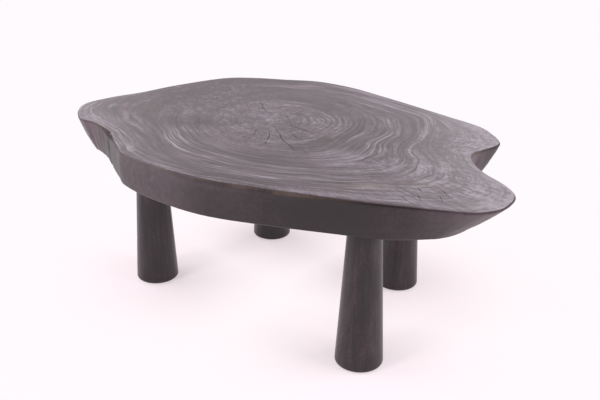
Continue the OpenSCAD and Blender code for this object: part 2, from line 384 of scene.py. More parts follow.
def foldWall(grid, heights):  # presses the creases into the wall, deepest below the middle
    along = np.roll(grid, -1, axis=1) - np.roll(grid, 1, axis=1)
    along[:, :, 2] = 0
    along /= np.linalg.norm(along, axis=2, keepdims=True)
    outward = np.stack([along[:, :, 1], -along[:, :, 0], np.zeros(grid.shape[:2])], axis=2)
    swell = np.interp(heights, [0, 2.5, 5, 8, 10], [0, 0.2, 1, 0.6, 0.2])
    down = np.clip(heights / lastRow, 0, 1)[:, None]
    press = np.zeros(grid.shape[:2])
    for at, stray, halfWidth, depth in folds:
        x, y = (at[k] * mm + down * stray[k] * mm for k in (0, 1))
        away = np.hypot(grid[:1, :, 0] - x, grid[:1, :, 1] - y)
        press += depth * mm * np.exp(-(away / (halfWidth * mm)) ** 2)
    return grid - outward * (swell[:, None] * press)[:, :, None]


def easeWall(grid, heights):  # where the wall leans out, its foot turns under without a lip
    lean = (grid[slabLoft["arrisRows"]] - grid[slabLoft["arrisRows"] + slabLoft["wallRows"]])[:, :2]
    swell = np.interp(heights, [3, 6, 7, 8, 9, 10], [0, 0.022, 0.03, 0, -0.02, -0.03])
    grid[:, :, :2] += swell[:, None, None] * lean
    rim, top = grid[slabLoft["arrisRows"]], grid[0, 0, 2]
    for at, halfLength, worn in wornRims:  # the arris is wider there
        away = np.hypot(rim[:, 0] - at[0] * mm, rim[:, 1] - at[1] * mm)
        wear = worn * np.exp(-(away / (halfLength * mm)) ** 2)
        for row in grid[:slabLoft["arrisRows"]]:
            row[:, :2] += (row - rim)[:, :2] * wear[:, None]
        down = top - grid[:, :, 2]
        grid[:, :, 2] = top - down * (1 + wear * np.exp(-(down / (8 * mm)) ** 2))
    return grid


def ringReach(age, turn, rim, loft):  # how far from the pith the ring of an age runs, where the rim is rim away
    pith = np.array(loft["pith"])
    reaches = [rim]
    for points in reversed(treeRings.values()):
        ring = alongCurve(np.array(points, float), np.linspace(0, len(points), 600, endpoint=False), True) - pith
        way = np.arctan2(ring[:, 1], ring[:, 0])
        order = np.argsort(way)
        reach = np.interp(turn, way[order], np.linalg.norm(ring, axis=1)[order] * mm, period=2 * np.pi)
        reaches.append(np.minimum(reach, loft["ringGap"] * reaches[-1]))
    ages = [1.0, *reversed(treeRings)]
    last = reaches[-1]
    share = np.clip(age / ages[-1], 0, 1)
    follow = share * share * (3 - 2 * share)
    radius = share * ((1 - follow) * loft["heartSize"] * mm + follow * last)
    for k in range(len(ages) - 2, -1, -1):
        step = (age - ages[k + 1]) / (ages[k] - ages[k + 1])
        radius = np.where(step > 0, reaches[k + 1] + step * (reaches[k] - reaches[k + 1]), radius)
    return radius


def sawnFace(points, faces, rimStart, rim, loft, upwards):  # rings from the rim in to the pith
    pith = np.array([loft["pith"][0] * mm, loft["pith"][1] * mm])
    away = rim[:, :2] - pith
    reach, turn = np.linalg.norm(away, axis=1), np.arctan2(away[:, 1], away[:, 0])
    ringCount = int(round(reach.mean() / (loft["topStep"] * mm)))
    outer = np.arange(rimStart, rimStart + len(rim))
    chosen = np.arange(len(rim))
    for k in range(ringCount - 1, 0, -1):
        age = k / ringCount
        radius = ringReach(age, turn, reach, loft)
        half = 2 * np.pi * radius.mean() / len(chosen) < loft["columnGap"] * mm
        inner = chosen[::2] if half else chosen
        start = len(points)
        spread = away[inner] / reach[inner][:, None] * radius[inner][:, None]
        points.extend([(*(pith + p), rim[0, 2]) for p in spread])
        ring = np.arange(start, start + len(inner))
        count = len(ring)
        for i in range(count):
            nextRing = ring[(i + 1) % count]
            if half:
                a, b, c = outer[2 * i], outer[2 * i + 1], outer[(2 * i + 2) % len(outer)]
                made = [(ring[i], a, b), (ring[i], b, nextRing), (nextRing, b, c)]
            else:
                made = [(ring[i], outer[i], outer[(i + 1) % count], nextRing)]
            faces.extend(made if upwards else [f[::-1] for f in made])
        outer, chosen = ring, inner
    points.append((*pith, rim[0, 2]))
    for i in range(len(outer)):
        face = (len(points) - 1, outer[i], outer[(i + 1) % len(outer)])
        faces.append(face if upwards else face[::-1])


def makeSlabMesh(loft):
    grid, heights = wallGrid(loft)
    grid = easeWall(foldWall(grid, heights), heights)
    rowCount, count = grid.shape[:2]
    points = [tuple(p) for p in grid.reshape(-1, 3)]
    faces = []
    for r in range(rowCount - 1):
        for i in range(count):
            a, b = r * count + i, r * count + (i + 1) % count
            faces.append((a, a + count, b + count, b))
    sawnFace(points, faces, 0, grid[0], loft, True)
    under = {**loft, "topStep": loft["underCoarser"] * loft["topStep"]}
    sawnFace(points, faces, (rowCount - 1) * count, grid[-1], under, False)
    mesh = bpy.data.meshes.new("liveEdgeSlab")
    mesh.from_pydata(points, [], faces)
    wall, arris, level = np.zeros((3, len(points)), np.float32)
    level[:rowCount * count] = np.repeat(heights / lastRow, count)
    wall[:rowCount * count] = np.repeat(np.interp(heights, [0, 2.5, 4.5, 6.5, 10], [0, 0, 1, 1, 0]), count)
    arris[:rowCount * count] = np.repeat(np.interp(heights, [0, 1, 2.6, 3.3], [0, 1, 1, 0]), count)
    rimPlace = np.array(points, np.float32)
    rimPlace[:rowCount * count, :2] = np.tile(grid[loft["arrisRows"] // 2, :, :2], (rowCount, 1))
    for label, values in (("wall", wall), ("arris", arris), ("level", level)):
        storeValues(mesh, label, values)
    mesh.attributes.new("rimPlace", "FLOAT_VECTOR", "POINT").data.foreach_set("vector", rimPlace.ravel())
    return mesh, grid


slabCarving = {  # mm, all of it inwards
    "Groove depth": 0.7,
    "Groove width": 14,
    "Hollow depth": 1.0,
    "Hollow width": 90,
    "Sanding dip": 0.5,
    "Seed": 3.0,
}


def carvingTree():  # grooves that run down the wall, broad hollows, and a hand-sanded top
    tree, add, given = newTree("carvedLiveEdge", {label: "Float" for label in slabCarving})
    wall = add("GeometryNodeInputNamedAttribute", ("wall",), data_type="FLOAT")
    rim = add("GeometryNodeInputNamedAttribute", ("rimPlace",), data_type="FLOAT_VECTOR")
    place = add("GeometryNodeInputPosition")
    normal = add("GeometryNodeInputNormal")
    slow = add("VectorMath.MULTIPLY", (place, (0, 0, 0.2)))
    flow = add("VectorMath.ADD", (rim, slow))
    fine = add("Math.DIVIDE", (1.0, given["Groove width"]))
    broad = add("Math.DIVIDE", (1.0, given["Hollow width"]))
    groove = add("TexNoise", (flow, given["Seed"], fine, 2.0), noise_dimensions="4D")
    groove = add("MapRange", (groove, 0.62, 0.34, 0.0, given["Groove depth"]))
    hollow = add("TexNoise", (place, given["Seed"], broad, 1.0), noise_dimensions="4D")
    hollow = add("MapRange", (hollow, 0.7, 0.3, 0.0, given["Hollow depth"]))
    carved = add("Math.ADD", (groove, hollow))
    dip = add("TexNoise", (place, given["Seed"], 6.0, 1.0), noise_dimensions="4D")
    dip = add("Math.MULTIPLY", (dip, given["Sanding dip"]))
    depth = add("Mix", (wall, dip, carved), data_type="FLOAT")
    inwards = add("VectorMath.SCALE", (normal, depth))
    offset = add("VectorMath.MULTIPLY", (inwards, (-1, -1, -1)))
    moved = add("GeometryNodeSetPosition", {"Geometry": given["Geometry"], "Offset": offset})
    endTree(add, moved, given["Material"])
    return tree


checks = [  # seasoning checks of the top, mm: the way they run, the width at their middle, the depth
    ([(-170, 55), (-192, 74), (-214, 90), (-229, 105), (-245, 116), (-262, 136)], 1.9, 6),
    ([(-92, -6), (-76, -21), (-57, -35), (-39, -49), (-17, -65), (-1, -81), (17, -93), (36, -102),
             (55, -112), (67, -121), (84, -128)], 2.2, 7),
    ([(-64, 12), (-45, 8), (-17, 6), (14, 3), (46, -2)], 2.6, 6),
    ([(-66, 19), (-50, 18), (-28, 17), (-8, 13)], 1.6, 4),
    ([(-57, -62), (-39, -81), (-23, -102), (-11, -124), (0, -140)], 1.6, 5),
    ([(-92, -68), (-84, -81), (-73, -96), (-67, -109)], 1.8, 4),
    ([(-107, 95), (-108, 104), (-108, 114)], 1.6, 4),
    ([(-134, 10), (-146, 13), (-152, 13)], 1.2, 3),
    ([(-149, -20), (-156, -12), (-162, -7)], 1.2, 3),
    ([(5, -43), (17, -49), (28, -56)], 1.8, 4),
    ([(-217, -140), (-245, -117), (-276, -90)], 0.8, 3),
    ([(86, 172), (100, 157), (114, 138)], 1.0, 3),
    ([(174, -2), (178, -20), (177, -40)], 0.8, 3),
    ([(164, -120), (192, -139), (221, -155)], 0.8, 2),
    ([(-79, -118), (-69, -149), (-59, -180)], 0.8, 2),
    ([(411, -131), (425, -146), (440, -158)], 1.7, 4),
    ([(433, -170), (445, -181), (457, -195)], 1.6, 4),
    ([(427, -105), (448, -111), (462, -119), (476, -129), (498, -148)], 1.7, 4),
    ([(468, -144), (482, -159), (490, -169)], 1.4, 3),
    ([(475, -114), (488, -120), (501, -128)], 1.5, 3),
    ([(488, -98), (504, -106), (521, -115)], 1.6, 3),
    ([(474, -56), (488, -59), (504, -61)], 1.4, 3),
    ([(408, -190), (422, -202), (435, -214)], 1.6, 3),
]
underChecks = [  # the same tree from below, where they run at their own places
    ([(-150, 30), (-200, 70), (-240, 96), (-300, 150)], 2.4, 12),
    ([(-90, -20), (-30, -70), (40, -110), (110, -150)], 2.2, 12),
    ([(-100, 40), (-60, 110), (-40, 190)], 2.0, 8),
    ([(-140, -40), (-160, -100), (-190, -170)], 1.8, 8),
]
checkWander = 0.7  # mm to either side
checkSeed = 11


def checkBlade(name, check, faceZ, upwards, draw):  # the wedge that a check takes out of a sawn face
    way, width, deep = check
    way = np.array(way, float)
    count = 5 * (len(way) - 1) + 1
    places = np.linspace(0, len(way) - 1, count)
    way = alongCurve(way, places, False)
    along = np.gradient(way, axis=0)
    along /= np.linalg.norm(along, axis=1, keepdims=True)
    across = np.stack([-along[:, 1], along[:, 0]], axis=1)
    way += across * draw.uniform(-checkWander, checkWander, (count, 1))
    swell = np.sin(np.pi * np.linspace(0.06, 0.94, count)) ** 0.6
    half = width / 2 * swell * draw.uniform(0.75, 1.2, count)
    sign = 1 if upwards else -1
    over = 1.5  # mm past the face
    points, faces = [], []
    for k in range(count):
        flare = half[k] * (1 + over / deep)
        for side, reach in ((1, over), (-1, over), (0, -deep * swell[k])):
            spot = way[k] + across[k] * side * flare
            points.append((spot[0] * mm, spot[1] * mm, faceZ + sign * reach * mm))
    for k in range(count - 1):
        a, b = 3 * k, 3 * k + 3
        faces += [(a, a + 1, b + 1, b), (a + 1, a + 2, b + 2, b + 1), (a + 2, a, b, b + 2)]
    faces += [(0, 2, 1), (3 * count - 3, 3 * count - 2, 3 * count - 1)]
    return closedPiece(name, points, faces)


insertBore = [(0, -1), (14.1, -1), (14.1, 2.5), (10.1, 2.5), (10.1, 35), (0, 35)]  # radius, height, mm


def spunSolid(name, profile, sides, spot):  # a profile spun about a vertical axis, mm
    points = [(r * math.cos(2 * math.pi * k / sides), r * math.sin(2 * math.pi * k / sides), z)
              for k in range(sides) for r, z in profile]
    count = len(profile)
    faces = []
    for k in range(sides):
        for i in range(count - 1):
            a, b = k * count + i, (k + 1) % sides * count + i
            faces.append((a, a + 1, b + 1, b))
    return closedPiece(name, [[c * mm + s for c, s in zip(point, spot)] for point in points], faces)


marks = {  # soft marks of the top and the wall, mm: place, half length, half width, turn, strength
    "figureAndPaintedLight": [  # lighter or darker: the wood's own figure, and painted light and shade, broadly darker to the left and back left and paler on the right lobes
        (80, -18, 28, 18, 20, -0.16), (96, -21, 12, 8, 20, -0.16), (28, -36, 52, 26, -10, -0.06),
        (-186, -38, 22, 12, 10, -0.16), (-163, -75, 9, 6, -20, -0.22), (-232, -110, 26, 20, 40, -0.14),
        (-262, -150, 14, 10, 0, -0.18), (80, -113, 22, 14, -20, -0.12), (103, 38, 6, 32, 0, -0.1),
        (103, 96, 22, 20, 0, -0.1), (-82, 35, 10, 14, 0, -0.12), (-3, 47, 22, 7, 0, -0.1),
        (-42, 116, 20, 8, 0, -0.1), (-119, 8, 13, 12, 0, 0.3), (-175, 135, 60, 34, 20, 0.1),
        (-150, 60, 60, 60, 0, 0.05), (385, -55, 62, 24, -70, 0.2), (325, -60, 60, 24, -80, -0.1),
        (440, -10, 70, 26, -50, -0.12), (300, 30, 50, 20, -50, 0.1),
        (-420, 150, 150, 130, 30, -0.08), (-490, -150, 100, 90, 0, -0.12), (350, -140, 130, 70, 32, 0.12),
        (345, -20, 60, 40, 45, 0.17), (475, -10, 50, 30, -20, 0.1), (-325, 372, 60, 30, 40, -0.13),
        (-360, -5, 40, 40, 0, -0.1), (300, -150, 44, 30, 30, -0.1),
        (500, -120, 110, 110, 0, 0.15), (-170, -390, 90, 24, -10, -0.15), (-530, -290, 50, 40, 20, -0.14),
        (-530, 0, 70, 60, 0, -0.13), (60, -362, 130, 26, 9, -0.17), (410, 250, 130, 90, -40, 0.1),
        (560, -130, 60, 110, 0, 0.06),
        (-250, -250, 160, 40, -30, 0.03), (300, 110, 60, 60, 0, -0.06), (430, -205, 60, 24, 15, 0.14),
        (-400, 290, 210, 60, 44, -0.14), (-90, 365, 150, 50, -4, 0.14), (-450, 20, 60, 130, 20, -0.13),
        (-268, -142, 90, 44, 32, -0.2), (-175, -254, 70, 28, -24, 0.2), (165, -75, 60, 24, 30, 0.11),
        (232, 5, 44, 16, 60, 0.12), (-455, -272, 70, 36, -16, 0.14),
        (215, -130, 90, 60, -30, 0.13), (190, -225, 80, 28, 15, 0.12), (325, -75, 50, 45, -60, 0.24),
        (392, -6, 30, 42, -60, 0.14), (445, -112, 46, 14, 20, -0.16), (412, -112, 36, 8, 35, -0.14),
        (515, -155, 70, 44, 30, -0.25), (60, 320, 110, 50, -28, 0.13), (200, 305, 80, 44, -44, 0.2),
        (165, 120, 60, 40, -30, -0.08),
    ],
    "arcs": [(0, 100, 100, 60, -45, 0.8), (90, 90, 60, 70, 0, 0.6), (140, 20, 40, 90, 0, 0.5)],  # pale rings
    "wave": [(235, 170, 60, 110, 12, 0.55), (290, 40, 60, 40, -50, 0.4)],  # one pale ring stands out
    "calm": [  # the rings fade into a mottled figure, or below nought stand out
        (400, 190, 110, 150, 0, 0.95), (490, -60, 140, 90, 0, 0.85), (-430, 90, 150, 230, 0, 1.1),
        (-300, 290, 260, 70, 36, -0.5), (80, 320, 220, 60, -24, -0.5), (-140, 0, 190, 150, 0, 1.1),
        (260, -70, 60, 60, 0, 0.5),
        (-280, -240, 240, 80, -22, -0.5), (40, -270, 240, 80, 12, -0.55), (180, 60, 60, 200, 0, -0.4),
    ],
    "rays": [(450, -150, 100, 70, 30, 0.5), (-130, 0, 190, 80, 0, 0.9)],  # fine checks that run outwards
    "worn": [(210, -332, 150, 40, 17, 0.5), (-60, -385, 150, 40, 6, 0.55), (404, 150, 30, 30, 0, 0.5),
             (430, 75, 40, 30, 0, 0.4),
             (-420, -308, 60, 30, -8, 0.5)],
    "paleStainAndPaintedLight": [(580, -140, 60, 80, 0, 0.6), (520, -210, 50, 26, 25, 0.4), (450, 90, 80, 80, 0, 1.45),
               (-510, -285, 100, 50, 0, 1.25), (-100, -395, 120, 36, -4, 0.45),
               (60, -380, 200, 60, 8, 0.08), (300, -300, 90, 60, 20, -1.05)],  # the wall's paler stretches where the stain lies thinner, and painted light and shade: paler where the side walls and undercuts catch the light, darker below nought on the front wall's right
    "paintedRidgeHighlight": [(-326, -338, 6, 9, 60, 0.34)],  # a painted highlight on the sharp ridge beside the deepest crease, where it catches the light from the left
    "warm": [(332, -192, 34, 14, 30, 1.0), (308, -226, 44, 16, 30, 0.5), (408, -116, 40, 10, 35, 0.7)],
    "dull": [(520, -185, 170, 70, 30, 1.0), (430, 110, 60, 90, 0, 0.8), (-450, -305, 110, 50, -5, 1.0),
             (-345, -328, 60, 50, 0, 0.9)],
    "rim": [(150, -350, 330, 80, 14, 1.0)],  # a darker band just inside the arris
}
pastRim = 1.05  # the age of what lies outside the rim, which has the age 1


def rimReach(grid, row, loft):  # for every direction from the pith, how far the rim is
    away = grid[row, :, :2] - np.array(loft["pith"]) * mm
    turn = np.arctan2(away[:, 1], away[:, 0])
    order = np.argsort(turn)
    turn, reach = turn[order], np.linalg.norm(away, axis=1)[order]
    return np.concatenate([turn - 2 * np.pi, turn, turn + 2 * np.pi]), np.tile(reach, 3)


def writeGrain(mesh, grid, loft):  # each point's place in the tree, which the grain follows
    points = np.empty(len(mesh.vertices) * 3, np.float32)
    mesh.vertices.foreach_get("co", points)
    points = points.reshape(-1, 3)
    away = points[:, :2] - np.array(loft["pith"]) * mm
    turn = np.arctan2(away[:, 1], away[:, 0])
    radius = np.linalg.norm(away, axis=1)
    topZ, lowZ = grid[:, :, 2].max(), grid[:, :, 2].min()
    down = np.clip((topZ - points[:, 2]) / (topZ - lowZ), 0, 1)
    rims = [np.interp(turn, *rimReach(grid, row, loft)) for row in (loft["arrisRows"], len(grid) - loft["arrisRows"])]
    rim = rims[0] * (1 - down) + rims[1] * down
    ages = np.linspace(0, pastRim, 300)
    age = np.zeros(len(points), np.float32)
    table = ringReach(ages[:, None], turn[None, :], rim[None, :], loft)
    for k in range(len(ages) - 1):
        inside = (radius >= table[k]) & (radius < table[k + 1])
        age[inside] = ages[k] + (ages[k + 1] - ages[k]) * ((radius - table[k]) / (table[k + 1] - table[k]))[inside]
    age[radius >= table[-1]] = pastRim
    storeValues(mesh, "age", age)
    for label, blots in marks.items():
        total = np.zeros(len(points), np.float32)
        for x, y, halfLength, halfWidth, angle, strength in blots:
            c, s = math.cos(math.radians(angle)), math.sin(math.radians(angle))
            dx, dy = points[:, 0] / mm - x, points[:, 1] / mm - y
            u, v = (c * dx + s * dy) / halfLength, (c * dy - s * dx) / halfWidth
            total += strength * np.exp(-(u * u + v * v) ** 1.5)
        storeValues(mesh, label, total)


mattArris = 0.8  # how rough the rubbed edge between top and wall is
treeScale = 430  # mm from the pith to the live edge, on average
topLook = {
    "tones": [(0.0, "#1d1213"), (0.3, "#3b2e32"), (0.5, "#54484e"), (0.7, "#72696f"), (1.0, "#928a90")],
    "rings": [(0.0, 0.6), (0.05, 0.52), (0.3, 0.51), (0.36, 0.5), (0.4, 0.44), (0.5, 0.48), (0.62, 0.46),
              (0.72, 0.48), (0.84, 0.47), (0.91, 0.5), (0.95, 0.58), (1.0, 0.62)],
    "layers": [  # length along the rings and width across them in mm, detail and strength
        {"along": 320, "across": 30, "detail": 2.0, "strength": 0.45},
        {"along": 280, "across": 12, "detail": 2.0, "strength": 0.85},
        {"along": 110, "across": 5.5, "detail": 3.0, "strength": 0.9},
    ],
    "bends": (11.0, 0.035),  # broad bends of the rings: how many to a metre, and their size as a share
    "ringCount": 38,  # growth rings that show, each one ending in a dark line
    "ringDark": 0.6,
    "lateWood": (0.62, 0.94),  # where in a ring its dark line starts and is full
    "ringDrift": 2.6,  # rings, how far their spacing wanders
    "driftSize": (220, 60),  # mm along and across the rings, as the next two
    "clearSize": (90, 24),  # where the dark lines are clear
    "splitSize": (13, 45),  # the fine checks, round the tree and outwards
    "crest": {"age": 0.76, "from": 0.028, "to": 0.008, "light": 0.24},  # the one pale ring
    "calm": {"rings": -0.65, "mottle": 1.4, "weave": 0.9},  # what the calm mark does to each
    "darkRimBand": {"from": 0.98, "to": 0.992, "tone": -0.35},  # ages, and how dark
    "patch": 75,  # mm, patches where the rings are clearer or fainter
    "blotch": 22,
    "blotchStrength": 0.5,
    "weave": {"along": 15, "across": 2.6, "turn": 9, "out": 16, "strength": 0.8},  # fine fibres, both ways
    "wornTan": "#8d7a64",  # where the stain has worn thin
    "wornThin": 0.2,
    "rough": (0.38, 0.56),
    "sheen": (0.5, 0.1),
    "relief": 0.35,  # mm between the brushed rings
    "pith": slabLoft["pith"],
}


def ringNoise(add, flow, along, across, detail, centre=0.0):  # noise drawn out along the rings, sizes in mm
    stretch = (1000 / along, 1000 / along, 1000 / across)
    spread = add("VectorMath.MULTIPLY", (flow, stretch))
    noise = add("TexNoise", (spread, 1.0, detail, 0.6))
    return add("Math.ADD", (noise, -centre))


def topMaterial(look):  # end grain sanded, wire brushed and stained black: pale rings with dark lines between
    material, add = newMaterial("brushedBlackEndGrain")
    mark = {label: add("Attribute", output="Fac", attribute_name=label) for label in ("age", *marks)}
    place = add("TexCoord", output="Object")
    bend = add("TexNoise", (place, look["bends"][0], 1.0))
    bend = add("Math.ADD", (bend, -0.5))
    age = add("Math.MULTIPLY_ADD", (bend, look["bends"][1], mark["age"]))
    depth = add("Math.MULTIPLY", (age, treeScale * mm))
    spot = add("SeparateXYZ", (place,)).node.outputs
    flow = add("CombineXYZ", (spot["X"], spot["Y"], depth))
    total = 0.0
    for layer in look["layers"]:
        grain = ringNoise(add, flow, layer["along"], layer["across"], layer["detail"], 0.5)
        total = add("Math.MULTIPLY_ADD", (grain, layer["strength"], total))
    spot = add("VectorMath.ADD", (place, (-look["pith"][0] * mm, -look["pith"][1] * mm, 0)))
    spot = add("VectorMath.MULTIPLY", (spot, (1, 1, 0)))
    spot = add("VectorMath.NORMALIZE", (spot,))
    spot = add("SeparateXYZ", (spot,)).node.outputs
    fan = add("CombineXYZ", (spot["X"], spot["Y"], depth))
    drift = ringNoise(add, flow, *look["driftSize"], 0.0)
    drift = add("Math.MULTIPLY", (drift, look["ringDrift"]))
    year = add("Math.MULTIPLY_ADD", (age, look["ringCount"], drift))
    year = add("Math.FRACT", (year,))
    late = add("MapRange", (year, *look["lateWood"]))
    late = add("MapRange", (year, 1.0, 0.95, 0, late))
    clear = ringNoise(add, flow, *look["clearSize"], 2.0)
    clear = add("MapRange", (clear, 0.44, 0.62, 0, look["ringDark"]))
    line = add("Math.MULTIPLY", (late, clear))
    total = add("Math.SUBTRACT", (total, line))
    patch = add("TexNoise", (place, 1000 / look["patch"], 2.0))
    patch = add("MapRange", (patch, 0.36, 0.64, 0.55, 1.35))
    total = add("Math.MULTIPLY", (total, patch))
    still = add("Math.MULTIPLY_ADD", (mark["calm"], look["calm"]["rings"], 1.0))
    total = add("Math.MULTIPLY", (total, still))
    pale = add("MapRange", (year, 0.62, 0.2, 0, 0.2))
    total = add("Math.MULTIPLY_ADD", (mark["arcs"], pale, total))
    split = ringNoise(add, fan, *look["splitSize"], 0.0)
    split = add("MapRange", (split, 0.6, 0.68, 0, -0.4))
    total = add("Math.MULTIPLY_ADD", (mark["rays"], split, total))
    crest = add("Math.ADD", (age, -look["crest"]["age"]))
    crest = add("Math.ABSOLUTE", (crest,))
    crest = add("MapRange", (crest, look["crest"]["from"], look["crest"]["to"], 0, look["crest"]["light"]))
    total = add("Math.MULTIPLY_ADD", (mark["wave"], crest, total))
    chart = fillRamp(add("ValToRGB", (age,)), look["rings"])
    tone = add("Math.ADD", (total, chart))
    # painted light and shade: the figure marks lighten and darken the tone, broadly darker on the left and paler on
    # the right, besides the wood's own figure
    tone = add("Math.ADD", (tone, mark["figureAndPaintedLight"]))
    blotch = add("TexNoise", (place, 1000 / look["blotch"], 5.0, 0.65))
    blotch = add("Math.ADD", (blotch, -0.5))
    mottle = add("Math.MULTIPLY_ADD", (mark["calm"], look["calm"]["mottle"], 0.7))
    mottle = add("Math.MULTIPLY", (mottle, look["blotchStrength"]))
    tone = add("Math.MULTIPLY_ADD", (blotch, mottle, tone))
    weave = ringNoise(add, flow, look["weave"]["along"], look["weave"]["across"], 1.0, 0.5)
    fibre = ringNoise(add, fan, look["weave"]["turn"], look["weave"]["out"], 1.0, 0.5)
    weave = add("Math.ADD", (weave, fibre))
    weft = add("Math.MULTIPLY_ADD", (mark["calm"], look["calm"]["weave"], 0.5))
    weft = add("Math.MULTIPLY", (weft, look["weave"]["strength"]))
    tone = add("Math.MULTIPLY_ADD", (weave, weft, tone))
    # the tone is darkened in a band just inside the rim
    edge = add("MapRange", (mark["age"], look["darkRimBand"]["from"], look["darkRimBand"]["to"], 0, mark["rim"]))
    tone = add("Math.MULTIPLY_ADD", (edge, look["darkRimBand"]["tone"], tone))
    colour = fillRamp(add("ValToRGB", (tone,)), look["tones"])
    arris = add("Attribute", output="Fac", attribute_name="arris")
    dull = add("MapRange", (mark["dull"], 0, 1, 0.55, 1.0))
    arris = add("Math.MULTIPLY", (arris, dull))
    arris = add("Math.MAXIMUM", (arris, edge))
    rough = add("MapRange", (tone, 0, 1, *look["rough"]))
    rough = add("Mix", (arris, rough, mattArris), data_type="FLOAT")
    sheen = add("MapRange", (arris, 0, 1, *look["sheen"]))
    bump = add("Bump", {"Height": total, "Strength": 0.6, "Distance": look["relief"] * mm})
    warm = add("Math.MULTIPLY", (mark["warm"], look["wornThin"]))
    colour = add("Mix", (warm, colour, hexColour(look["wornTan"])), data_type="RGBA")
    wood = add("BsdfPrincipled", {"Base Color": colour, "Roughness": rough, "Normal": bump, "IOR": 1.5,
               "Specular IOR Level": sheen})
    add("OutputMaterial", (wood,))
    return material


wallLook = {
    "tones": [(0.0, "#1d1415"), (0.35, "#241a1b"), (0.6, "#2b2022"), (1.0, "#352a2c")],
    "streak": 7,  # mm across
    "blotch": 70,
    "relief": 0.12,
    "paleStainAndPaintedLight": "#675a60",  # where the stain lies thinner, and where light is painted on
    "fibre": 15,  # mm, the strands that show there
    "wornTan": "#756558",  # where hands have rubbed the stain off the arris, and the colour of the painted highlight on the ridge
    "rough": (0.42, 0.52),
    "sheen": (0.5, 0.1),
}


def wallMaterial(look):  # the tree's own outside, barked, shaved and stained black: matt with faint streaks
    material, add = newMaterial("shavedBlackLiveEdge")
    place = add("TexCoord", output="Object")
    rim = add("Attribute", output="Vector", attribute_name="rimPlace")
    slow = add("VectorMath.MULTIPLY", (place, (0, 0, 0.07)))
    flow = add("VectorMath.ADD", (rim, slow))
    streak = add("TexNoise", (flow, 1000 / look["streak"], 3.0, 0.65))
    blotch = add("TexNoise", (place, 1000 / look["blotch"], 5.0, 0.6))
    tone = add("Math.ADD", (streak, blotch))
    tone = add("MapRange", (tone, 0.7, 1.35))
    mark = {label: add("Attribute", output="Fac", attribute_name=label)
            for label in ("arris", "worn", "paleStainAndPaintedLight", "paintedRidgeHighlight", "dull")}
    # painted light and shade: the tone is raised where the wall catches the light and lowered on the front wall's
    # right, as well as where the stain lies thinner
    tone = add("Math.MULTIPLY_ADD", (mark["paleStainAndPaintedLight"], 0.6, tone))
    colour = fillRamp(add("ValToRGB", (tone,)), look["tones"])
    layer = add("TexNoise", (flow, 1000 / look["fibre"], 4.0, 0.7))
    layer = add("MapRange", (layer, 0.25, 0.72))
    # painted highlight: the ridge is painted pale where it catches the light
    paintedRidgeHighlight = add("Math.MULTIPLY", (layer, mark["paintedRidgeHighlight"]))
    layer = add("Math.MULTIPLY_ADD", (layer, 0.5, 0.4))
    layer = add("Math.MULTIPLY", (layer, mark["paleStainAndPaintedLight"]))
    colour = add("Mix", (layer, colour, hexColour(look["paleStainAndPaintedLight"])), data_type="RGBA")
    arris, worn = mark["arris"], mark["worn"]
    wearAndPaintedHighlight = add("MapRange", (blotch, 0.32, 0.68, 0, worn))
    # real wear on the arris, plus the ridge's painted highlight in the same tan
    wearAndPaintedHighlight = add("Math.MULTIPLY_ADD", (wearAndPaintedHighlight, arris, paintedRidgeHighlight))
    colour = add("Mix", (wearAndPaintedHighlight, colour, hexColour(look["wornTan"])), data_type="RGBA")
    rough = add("MapRange", (blotch, 0.3, 0.7, *look["rough"]))
    dull = add("MapRange", (mark["dull"], 0, 1, 0.55, 1.0))
    dull = add("Math.MULTIPLY", (arris, dull))
    rough = add("Mix", (dull, rough, mattArris), data_type="FLOAT")
    sheen = add("MapRange", (dull, 0, 1, *look["sheen"]))
    bump = add("Bump", {"Height": streak, "Strength": 0.5, "Distance": look["relief"] * mm})
    wood = add("BsdfPrincipled", {"Base Color": colour, "Roughness": rough, "Normal": bump, "IOR": 1.5,
               "Specular IOR Level": sheen})
    add("OutputMaterial", (wood,))
    return material


mesh, grid = makeSlabMesh(slabLoft)
slab = newPiece("liveEdgeSlab", mesh)
topZ, underZ = grid[:, :, 2].max(), grid[:, :, 2].min()
top, wall = topMaterial(topLook), wallMaterial(wallLook)
runTree(slab, carvingTree(), {k: v if k == "Seed" else v * mm for k, v in slabCarving.items()} | {"Material": wall})
draw = np.random.default_rng(checkSeed)
blades = [checkBlade("check", check, topZ, True, draw) for check in checks]
blades += [checkBlade("check", check, underZ, False, draw) for check in underChecks]
bores = [spunSolid("bore", insertBore, 48, (*legAxis(corner)[:2], underZ)) for corner in corners]
cutAway(slab, blades + bores)
writeGrain(slab.data, grid, slabLoft)
slab.data.materials.clear()
for material in (top, wall):
    slab.data.materials.append(material)
level = np.empty(len(slab.data.vertices), np.float32)
slab.data.attributes["level"].data.foreach_get("value", level)
reach = [(min(level[i] for i in p.vertices), max(level[i] for i in p.vertices)) for p in slab.data.polygons]
barked = [int(low > 0 and 0.05 < (low + high) / 2 < 0.93) for low, high in reach]
slab.data.polygons.foreach_set("material_index", barked)
softenMesh(slab.data)
standIn(slab, "live_edge_slab")
print("slab dressed,", sum(len(p.vertices) - 2 for p in slab.data.polygons), "triangles")

# Turned pieces

